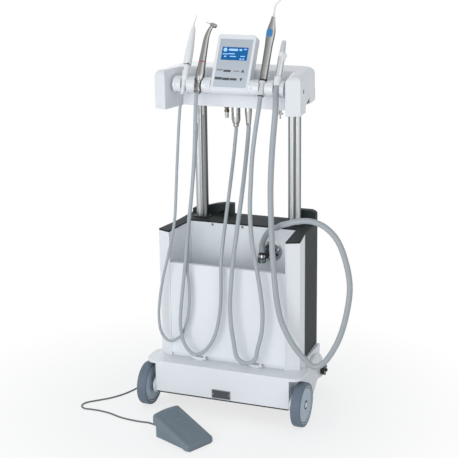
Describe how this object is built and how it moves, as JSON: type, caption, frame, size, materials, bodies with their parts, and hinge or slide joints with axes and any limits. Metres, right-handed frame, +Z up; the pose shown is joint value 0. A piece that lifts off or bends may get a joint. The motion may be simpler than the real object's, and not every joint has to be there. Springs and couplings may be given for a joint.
{
  "type": "portable dental unit",
  "caption": "Wheeled dental treatment cabinet with a height-adjustable head carrying a tilting display and hose-fed instruments, plus a wedge foot pedal on a cable",
  "frame": {"origin": "On the floor, under the middle of the wheel axle, which is also the middle of the ground box of the unit and its pedal.", "axes": "+Z up, the front with the instruments and the flap faces -Y, +X is to the right of someone who stands in front and faces the unit."},
  "size_m": [0.7811, 0.6598, 1.151],
  "materials": {
    "shell_white": "satin moulded plastic",
    "plate_dark": "dark powder coat",
    "plate_grey": "bare brushed plate",
    "leg_white": "white powder coat",
    "rubber_black": "soft matt rubber",
    "knob_black": "fine grain",
    "steel": "turned steel",
    "tyre_grey": "grey solid rubber",
    "rim_blue": "blue-grey moulding",
    "trim_dark": "dark satin moulding",
    "panel_pale": "pale satin paint",
    "shell_dark": "slate moulding, fine grain",
    "plastic_black": "black moulding",
    "flap_white": "smooth white paint",
    "chrome": "polished",
    "cast_aluminium": "sand cast, unpainted",
    "bottle_clear": "clear moulded",
    "housing_steel": "zinc plated sheet",
    "column_alu": "satin anodised extrusion",
    "holder_white": "satin moulding",
    "foil_grey": "embossed membrane foil",
    "lcd_blue": "backlit window",
    "tool_white": "sterilisable plastic",
    "tool_metal": "satin anodised",
    "button_blue": "soft button",
    "tool_grey": "grey moulding",
    "hose_grey": "smooth silicone",
    "hose_ribbed": "ribbed suction hose",
    "pedal_blue": "coarse grain moulding",
    "cable_grey": "soft cable sheath"
  },
  "bodies": {
    "chassis": {"base_housing": "shell_white", "base_plate": "plate_dark", "type_plate": "plate_grey", "side_legs": "leg_white", "rubber_soles": "rubber_black", "wheel_axle": "steel", "body_casing": "shell_white", "top_trim": "trim_dark", "recess_panel": "panel_pale", "rear_shell": "shell_dark", "casing_screws": "steel", "column_sleeves": "plastic_black", "flap_hinges": "shell_white", "suction_socket": "chrome", "suction_elbow": "plastic_black", "compressor": "cast_aluminium", "suction_pump": "cast_aluminium", "waste_jar": "bottle_clear", "water_bottle": "bottle_clear", "power_supply": "housing_steel", "rear_sockets": "plastic_black", "gas_spring_cylinders": "steel", "hose_scaler": "hose_grey", "hose_motor": "hose_grey", "hose_syringe": "hose_grey", "hose_suction": "hose_ribbed", "pedal_base": "pedal_blue", "pedal_cable": "cable_grey", "pedal_cable_coil": "cable_grey", "cable_plug": "plastic_black"},
    "wheel_left": {"tyre_left": "tyre_grey", "rim_left": "rim_blue"},
    "wheel_right": {"tyre_right": "tyre_grey", "rim_right": "rim_blue"},
    "knob_left": {"leg_knob_left": "knob_black"},
    "knob_right": {"leg_knob_right": "knob_black"},
    "flap": {"front_flap": "flap_white"},
    "power_rocker": {"power_switch": "plastic_black"},
    "head": {"gas_spring_rods": "chrome", "lift_columns": "column_alu", "head_shell": "shell_white", "head_underplate": "plate_dark", "bar_shaft": "steel", "instrument_holders": "holder_white", "hose_couplings": "chrome"},
    "tap": {"spray_tap": "chrome"},
    "display": {"display_housing": "shell_white", "keypad_foil": "foil_grey", "display_window": "lcd_blue"},
    "scaler": {"scaler_handpiece": "tool_white", "scaler_tip": "steel"},
    "motor": {"micromotor": "tool_metal"},
    "contra": {"contra_angle": "tool_metal"},
    "bur_body": {"bur": "steel"},
    "syringe": {"syringe_body": "tool_metal", "syringe_tip": "bottle_clear"},
    "button": {"syringe_button": "button_blue"},
    "suction": {"suction_handpiece": "tool_grey"},
    "slider": {"suction_slider": "tool_white"},
    "pedal": {"pedal_cover": "pedal_blue"}
  },
  "joints": [
    {"name": "head_lift", "type": "slide", "parent": "chassis", "child": "head", "axis": [0, 0, 1], "range_m": [-0.325, 0], "deforming": ["hose_scaler", "hose_motor", "hose_syringe", "hose_suction"]},
    {"name": "display_tilt", "type": "hinge", "parent": "head", "child": "display", "pos_m": [0.005, 0.0815, 0.92201], "axis": [1, 0, 0], "range_deg": [-10, 20]},
    {"name": "wheel_left_spin", "type": "hinge", "parent": "chassis", "child": "wheel_left", "pos_m": [-0.231, 0, 0.0625], "axis": [1, 0, 0], "continuous": true},
    {"name": "wheel_right_spin", "type": "hinge", "parent": "chassis", "child": "wheel_right", "pos_m": [0.231, 0, 0.0625], "axis": [1, 0, 0], "continuous": true},
    {"name": "flap_open", "type": "hinge", "parent": "chassis", "child": "flap", "pos_m": [0, 0.026, 0.147], "axis": [1, 0, 0], "range_deg": [0, 90]},
    {"name": "scaler_lift", "type": "slide", "parent": "head", "child": "scaler", "axis": [0, 0.4695, 0.8829], "range_m": [0, 0.08], "deforming": ["hose_scaler"]},
    {"name": "motor_lift", "type": "slide", "parent": "head", "child": "motor", "axis": [0, 0.4695, 0.8829], "range_m": [0, 0.08], "deforming": ["hose_motor"]},
    {"name": "contra_turn", "type": "hinge", "parent": "motor", "child": "contra", "pos_m": [-0.085, 0.09456, 0.99664], "axis": [0, 0.4695, 0.8829], "continuous": true},
    {"name": "bur_spin", "type": "hinge", "parent": "contra", "child": "bur_body", "pos_m": [-0.071, 0.13963, 1.0814], "axis": [-0.9397, 0.1606, 0.302], "continuous": true},
    {"name": "syringe_lift", "type": "slide", "parent": "head", "child": "syringe", "axis": [0, 0.4695, 0.8829], "range_m": [0, 0.08], "deforming": ["hose_syringe"]},
    {"name": "button_press", "type": "slide", "parent": "syringe", "child": "button", "axis": [0, 0.8829, -0.4695], "range_m": [0, 0.0015], "stiffness_N_per_m": 400, "springref_m": -0.0005},
    {"name": "suction_lift", "type": "slide", "parent": "head", "child": "suction", "axis": [0, 0.4695, 0.8829], "range_m": [0, 0.08], "deforming": ["hose_suction"]},
    {"name": "slider_move", "type": "slide", "parent": "suction", "child": "slider", "axis": [0, -0.4695, -0.8829], "range_m": [0, 0.014]},
    {"name": "tap_turn", "type": "hinge", "parent": "head", "child": "tap", "pos_m": [0.12, 0.145, 0.842], "axis": [0, 0, 1], "range_deg": [0, 90]},
    {"name": "pedal_press", "type": "hinge", "parent": "chassis", "child": "pedal", "pos_m": [0.01672, -0.22391, 0.008], "axis": [-0.4147, -0.91, 0], "range_deg": [0, 6], "stiffness_Nm_per_rad": 60, "springref_deg": -143.24},
    {"name": "power_rock", "type": "hinge", "parent": "chassis", "child": "power_rocker", "pos_m": [0.06, 0.264, 0.246], "axis": [1, 0, 0], "range_deg": [-8, 0]},
    {"name": "knob_left_turn", "type": "hinge", "parent": "chassis", "child": "knob_left", "pos_m": [-0.215, 0.253, 0.066], "axis": [1, 0, 0], "continuous": true},
    {"name": "knob_right_turn", "type": "hinge", "parent": "chassis", "child": "knob_right", "pos_m": [0.215, 0.253, 0.066], "axis": [1, 0, 0], "continuous": true}
  ]
}
